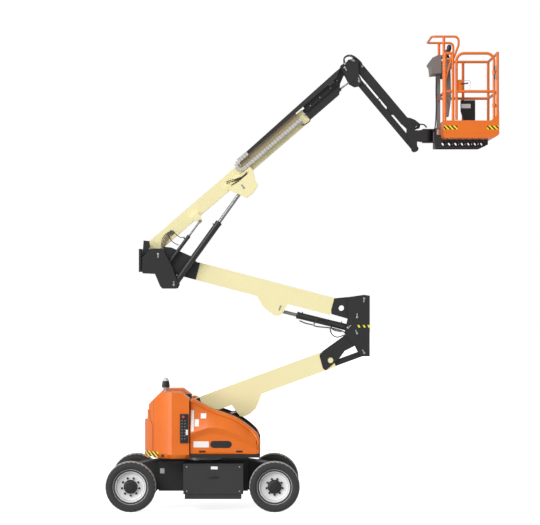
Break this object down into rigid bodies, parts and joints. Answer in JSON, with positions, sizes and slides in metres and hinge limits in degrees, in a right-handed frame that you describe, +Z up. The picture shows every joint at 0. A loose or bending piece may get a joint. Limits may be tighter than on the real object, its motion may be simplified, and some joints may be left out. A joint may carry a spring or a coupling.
{
  "type": "articulating boom lift",
  "caption": "Self-propelled battery work platform: wheeled chassis, slewing turntable, folding two-arm tower, telescoping boom, jib and railed basket.",
  "frame": {"origin": "on the ground, below the middle of the machine's overall length and width as it stands", "axes": "+X from the steered axle towards the basket, -Y the left side when it drives towards -X, +Z up"},
  "size_m": [5.5077, 1.75, 6.6863],
  "materials": {
    "orange_paint": "gloss",
    "cream_paint": "gloss",
    "black_paint": "satin",
    "box_black": "satin",
    "bare_steel": "satin",
    "floor_steel": "matte",
    "track_grey": "matte",
    "track_black": "matte",
    "unit_grey": "matte",
    "black_plastic": "matte",
    "beacon_plastic": "gloss",
    "console_grey": "matte",
    "rim_paint": "satin",
    "tyre_rubber": "matte",
    "cylinder_black": "gloss",
    "chrome_rod": "polished"
  },
  "bodies": {
    "chassis": {"chassis_frame": "black_paint", "battery_boxes": "box_black", "slewing_ring": "bare_steel", "steer_axle": "black_paint", "drive_axle": "black_paint"},
    "knuckle_left": {"knuckle_left": "black_paint"},
    "knuckle_right": {"knuckle_right": "black_paint"},
    "tie_rod": {"tie_rod": "bare_steel"},
    "steer_cylinder_barrel": {"steer_cylinder_barrel": "cylinder_black"},
    "steer_cylinder_rod": {"steer_cylinder_rod": "chrome_rod"},
    "turntable": {"turntable_frame": "black_paint", "counterweight": "orange_paint", "tower_covers": "orange_paint", "power_units": "unit_grey", "ground_control_panel": "black_plastic", "beacon": "beacon_plastic"},
    "hood_left": {"hood_left": "orange_paint"},
    "hood_right": {"hood_right": "orange_paint"},
    "lower_arm": {"lower_arm": "cream_paint", "lower_arm_ends": "black_paint"},
    "lower_link": {"lower_link": "black_paint"},
    "mid_upright": {"mid_upright": "black_paint"},
    "upper_arm": {"upper_arm": "cream_paint", "upper_arm_ends": "black_paint"},
    "upper_upright": {"upper_upright": "black_paint"},
    "main_boom": {"main_boom": "cream_paint", "cable_track_base": "track_grey"},
    "fly_boom": {"fly_boom": "black_paint", "cable_track_top": "track_black"},
    "yoke": {"yoke": "black_paint"},
    "jib_boom": {"jib_boom": "black_paint"},
    "jib_link": {"jib_link": "black_paint"},
    "jib_head": {"jib_head": "black_paint"},
    "platform": {"platform_mount": "black_paint", "platform_floor": "floor_steel", "toe_boards": "orange_paint", "platform_rails": "orange_paint", "platform_console": "console_grey", "document_box": "black_plastic"},
    "platform_gate": {"platform_gate": "orange_paint"},
    "wheel_front_left": {"rim_front_left": "rim_paint", "tyre_front_left": "tyre_rubber"},
    "wheel_front_right": {"rim_front_right": "rim_paint", "tyre_front_right": "tyre_rubber"},
    "wheel_rear_left": {"rim_rear_left": "rim_paint", "tyre_rear_left": "tyre_rubber"},
    "wheel_rear_right": {"rim_rear_right": "rim_paint", "tyre_rear_right": "tyre_rubber"},
    "tower_lift_cylinder_barrel": {"tower_lift_cylinder_barrel": "cylinder_black"},
    "tower_lift_cylinder_rod": {"tower_lift_cylinder_rod": "chrome_rod"},
    "arm_lift_cylinder_barrel": {"arm_lift_cylinder_barrel": "cylinder_black"},
    "arm_lift_cylinder_rod": {"arm_lift_cylinder_rod": "chrome_rod"},
    "boom_lift_cylinder_barrel": {"boom_lift_cylinder_barrel": "cylinder_black"},
    "boom_lift_cylinder_rod": {"boom_lift_cylinder_rod": "chrome_rod"},
    "master_cylinder_barrel": {"master_cylinder_barrel": "cylinder_black"},
    "master_cylinder_rod": {"master_cylinder_rod": "chrome_rod"},
    "slave_cylinder_barrel": {"slave_cylinder_barrel": "cylinder_black"},
    "slave_cylinder_rod": {"slave_cylinder_rod": "chrome_rod"},
    "jib_lift_cylinder_barrel": {"jib_lift_cylinder_barrel": "cylinder_black"},
    "jib_lift_cylinder_rod": {"jib_lift_cylinder_rod": "chrome_rod"}
  },
  "joints": [
    {"name": "wheel_front_left_spin", "type": "hinge", "parent": "knuckle_left", "child": "wheel_front_left", "pos_m": [-2.39988, -0.755, 0.354], "axis": [0, 1, 0], "continuous": true},
    {"name": "wheel_front_right_spin", "type": "hinge", "parent": "knuckle_right", "child": "wheel_front_right", "pos_m": [-2.39988, 0.755, 0.354], "axis": [0, 1, 0], "continuous": true},
    {"name": "wheel_rear_left_spin", "type": "hinge", "parent": "chassis", "child": "wheel_rear_left", "pos_m": [-0.38988, -0.755, 0.354], "axis": [0, 1, 0], "continuous": true},
    {"name": "wheel_rear_right_spin", "type": "hinge", "parent": "chassis", "child": "wheel_rear_right", "pos_m": [-0.38988, 0.755, 0.354], "axis": [0, 1, 0], "continuous": true},
    {"name": "steering", "type": "hinge", "parent": "chassis", "child": "knuckle_left", "pos_m": [-2.39988, -0.59, 0.354], "axis": [0, 0, 1], "range_deg": [-32, 32]},
    {"name": "steering_right", "type": "hinge", "parent": "chassis", "child": "knuckle_right", "pos_m": [-2.39988, 0.59, 0.354], "axis": [0, 0, 1], "range_deg": [-32.5, 32.5]},
    {"name": "tie_rod_pivot", "type": "hinge", "parent": "knuckle_left", "child": "tie_rod", "pos_m": [-2.52988, -0.59, 0.354], "axis": [0, 0, 1], "range_deg": [-32.5, 32.5]},
    {"name": "steer_cylinder_pivot", "type": "hinge", "parent": "chassis", "child": "steer_cylinder_barrel", "pos_m": [-2.26988, -0.18, 0.354], "axis": [0, 0, 1], "range_deg": [-0.95, 0.95]},
    {"name": "steer_cylinder_slide", "type": "slide", "parent": "steer_cylinder_barrel", "child": "steer_cylinder_rod", "axis": [0, -1, 0], "range_m": [-0.071, 0.071]},
    {"name": "turntable_swing", "type": "hinge", "parent": "chassis", "child": "turntable", "pos_m": [-1.39488, 0, 0.7], "axis": [0, 0, 1], "range_deg": [-180, 180]},
    {"name": "hood_left_hinge", "type": "hinge", "parent": "turntable", "child": "hood_left", "pos_m": [-1.18361, -0.302, 1.35144], "axis": [-0.8739, 0, 0.4861], "range_deg": [0, 70]},
    {"name": "hood_right_hinge", "type": "hinge", "parent": "turntable", "child": "hood_right", "pos_m": [-1.18361, 0.302, 1.35144], "axis": [0.8739, 0, -0.4861], "range_deg": [0, 70]},
    {"name": "tower_lift", "type": "hinge", "parent": "turntable", "child": "lower_arm", "pos_m": [-1.93988, 0, 1.48], "axis": [0, -1, 0], "range_deg": [-17, 52]},
    {"name": "lower_link_pivot", "type": "hinge", "parent": "turntable", "child": "lower_link", "pos_m": [-1.83788, 0, 1.201], "axis": [0, -1, 0], "range_deg": [-17.5, 52.5]},
    {"name": "mid_upright_pivot", "type": "hinge", "parent": "lower_arm", "child": "mid_upright", "pos_m": [0.78725, 0, 2.47799], "axis": [0, -1, 0], "range_deg": [-52.5, 17.5]},
    {"name": "upper_arm_pivot", "type": "hinge", "parent": "mid_upright", "child": "upper_arm", "pos_m": [0.78725, 0, 2.70699], "axis": [0, -1, 0], "range_deg": [-52.5, 17.5]},
    {"name": "upper_upright_pivot", "type": "hinge", "parent": "upper_arm", "child": "upper_upright", "pos_m": [-2.18903, 0, 3.4878], "axis": [0, -1, 0], "range_deg": [-17.5, 52.5]},
    {"name": "main_lift", "type": "hinge", "parent": "upper_upright", "child": "main_boom", "pos_m": [-2.04003, 0, 3.6058], "axis": [0, -1, 0], "range_deg": [-33.8, 31.2]},
    {"name": "telescope", "type": "slide", "parent": "main_boom", "child": "fly_boom", "axis": [0.757, 0, 0.6534], "range_m": [0, 1.35]},
    {"name": "yoke_levelling", "type": "hinge", "parent": "fly_boom", "child": "yoke", "pos_m": [0.61337, 0, 6.26472], "axis": [0, -1, 0], "range_deg": [-31.7, 34.3]},
    {"name": "jib_lift", "type": "hinge", "parent": "yoke", "child": "jib_boom", "pos_m": [0.74137, 0, 6.36372], "axis": [0, -1, 0], "range_deg": [-10, 133]},
    {"name": "jib_link_pivot", "type": "hinge", "parent": "yoke", "child": "jib_link", "pos_m": [0.81837, 0, 6.06672], "axis": [0, -1, 0], "range_deg": [-10.5, 133.5]},
    {"name": "jib_head_levelling", "type": "hinge", "parent": "jib_boom", "child": "jib_head", "pos_m": [1.54588, 0, 5.40833], "axis": [0, -1, 0], "range_deg": [-133.5, 10.5]},
    {"name": "platform_rotate", "type": "hinge", "parent": "jib_head", "child": "platform", "pos_m": [1.77588, 0, 5.29533], "axis": [0, 0, 1], "range_deg": [-90, 90]},
    {"name": "platform_gate_hinge", "type": "hinge", "parent": "platform", "child": "platform_gate", "pos_m": [2.68288, -0.737, 5.9], "axis": [0, 0, -1], "range_deg": [0, 90]},
    {"name": "tower_lift_cylinder_pivot", "type": "hinge", "parent": "turntable", "child": "tower_lift_cylinder_barrel", "pos_m": [-1.71588, 0, 1.138], "axis": [0, -1, 0], "range_deg": [-17.28, 51.84]},
    {"name": "tower_lift_cylinder_slide", "type": "slide", "parent": "tower_lift_cylinder_barrel", "child": "tower_lift_cylinder_rod", "axis": [0.9659, 0, 0.2587], "range_m": [-0.1179, 0.3566]},
    {"name": "arm_lift_cylinder_pivot", "type": "hinge", "parent": "mid_upright", "child": "arm_lift_cylinder_barrel", "pos_m": [0.65725, 0, 2.55799], "axis": [0, -1, 0], "range_deg": [-53.4, 17.79]},
    {"name": "arm_lift_cylinder_slide", "type": "slide", "parent": "arm_lift_cylinder_barrel", "child": "arm_lift_cylinder_rod", "axis": [-0.9711, 0, 0.2388], "range_m": [-0.0579, 0.1729]},
    {"name": "boom_lift_cylinder_pivot", "type": "hinge", "parent": "upper_upright", "child": "boom_lift_cylinder_barrel", "pos_m": [-1.81703, -0.2, 3.1668], "axis": [0, -1, 0], "range_deg": [-30.41, 28.11]},
    {"name": "boom_lift_cylinder_slide", "type": "slide", "parent": "boom_lift_cylinder_barrel", "child": "boom_lift_cylinder_rod", "axis": [0.5831, 0, 0.8124], "range_m": [-0.2548, 0.2354]},
    {"name": "master_cylinder_pivot", "type": "hinge", "parent": "upper_upright", "child": "master_cylinder_barrel", "pos_m": [-1.89403, -0.172, 3.4758], "axis": [0, -1, 0], "range_deg": [-34.15, 31.56]},
    {"name": "master_cylinder_slide", "type": "slide", "parent": "master_cylinder_barrel", "child": "master_cylinder_rod", "axis": [0.5957, 0, 0.8032], "range_m": [-0.1116, 0.1032]},
    {"name": "slave_cylinder_pivot", "type": "hinge", "parent": "fly_boom", "child": "slave_cylinder_barrel", "pos_m": [0.14601, 0, 5.66447], "axis": [0, -1, 0], "range_deg": [-1.84, 1.74]},
    {"name": "slave_cylinder_slide", "type": "slide", "parent": "slave_cylinder_barrel", "child": "slave_cylinder_rod", "axis": [0.8012, 0, 0.5984], "range_m": [-0.106, 0.1147]},
    {"name": "jib_lift_cylinder_pivot", "type": "hinge", "parent": "yoke", "child": "jib_lift_cylinder_barrel", "pos_m": [0.81837, 0, 6.06672], "axis": [0, -1, 0], "range_deg": [-10.35, 131.48]},
    {"name": "jib_lift_cylinder_slide", "type": "slide", "parent": "jib_lift_cylinder_barrel", "child": "jib_lift_cylinder_rod", "axis": [0.6721, 0, -0.7405], "range_m": [-0.0443, 0.564]}
  ],
  "couplings": [
    {"joint": "steering_right", "follows": "steering", "ratio": 1},
    {"joint": "tie_rod_pivot", "follows": "steering", "ratio": -1},
    {"joint": "steer_cylinder_pivot", "follows": "steering", "ratio": -0.014043},
    {"joint": "steer_cylinder_slide", "follows": "steering", "m_per_rad": -0.12359},
    {"joint": "lower_link_pivot", "follows": "tower_lift", "ratio": 1},
    {"joint": "mid_upright_pivot", "follows": "tower_lift", "ratio": -1},
    {"joint": "upper_arm_pivot", "follows": "tower_lift", "ratio": -1},
    {"joint": "upper_upright_pivot", "follows": "tower_lift", "ratio": 1},
    {"joint": "yoke_levelling", "follows": "main_lift", "ratio": -1},
    {"joint": "jib_link_pivot", "follows": "jib_lift", "ratio": 1},
    {"joint": "jib_head_levelling", "follows": "jib_lift", "ratio": -1},
    {"joint": "tower_lift_cylinder_pivot", "follows": "tower_lift", "ratio": 0.98729},
    {"joint": "tower_lift_cylinder_slide", "follows": "tower_lift", "m_per_rad": 0.39072},
    {"joint": "arm_lift_cylinder_pivot", "follows": "tower_lift", "ratio": -1.0172},
    {"joint": "arm_lift_cylinder_slide", "follows": "tower_lift", "m_per_rad": 0.18827},
    {"joint": "boom_lift_cylinder_pivot", "follows": "main_lift", "ratio": 0.88481},
    {"joint": "boom_lift_cylinder_slide", "follows": "main_lift", "m_per_rad": 0.42861},
    {"joint": "master_cylinder_pivot", "follows": "main_lift", "ratio": 0.99559},
    {"joint": "master_cylinder_slide", "follows": "main_lift", "m_per_rad": 0.1858},
    {"joint": "slave_cylinder_pivot", "follows": "main_lift", "ratio": 0.039627},
    {"joint": "slave_cylinder_slide", "follows": "main_lift", "m_per_rad": -0.19101},
    {"joint": "jib_lift_cylinder_pivot", "follows": "jib_lift", "ratio": 0.98479},
    {"joint": "jib_lift_cylinder_slide", "follows": "jib_lift", "m_per_rad": 0.24209}
  ]
}
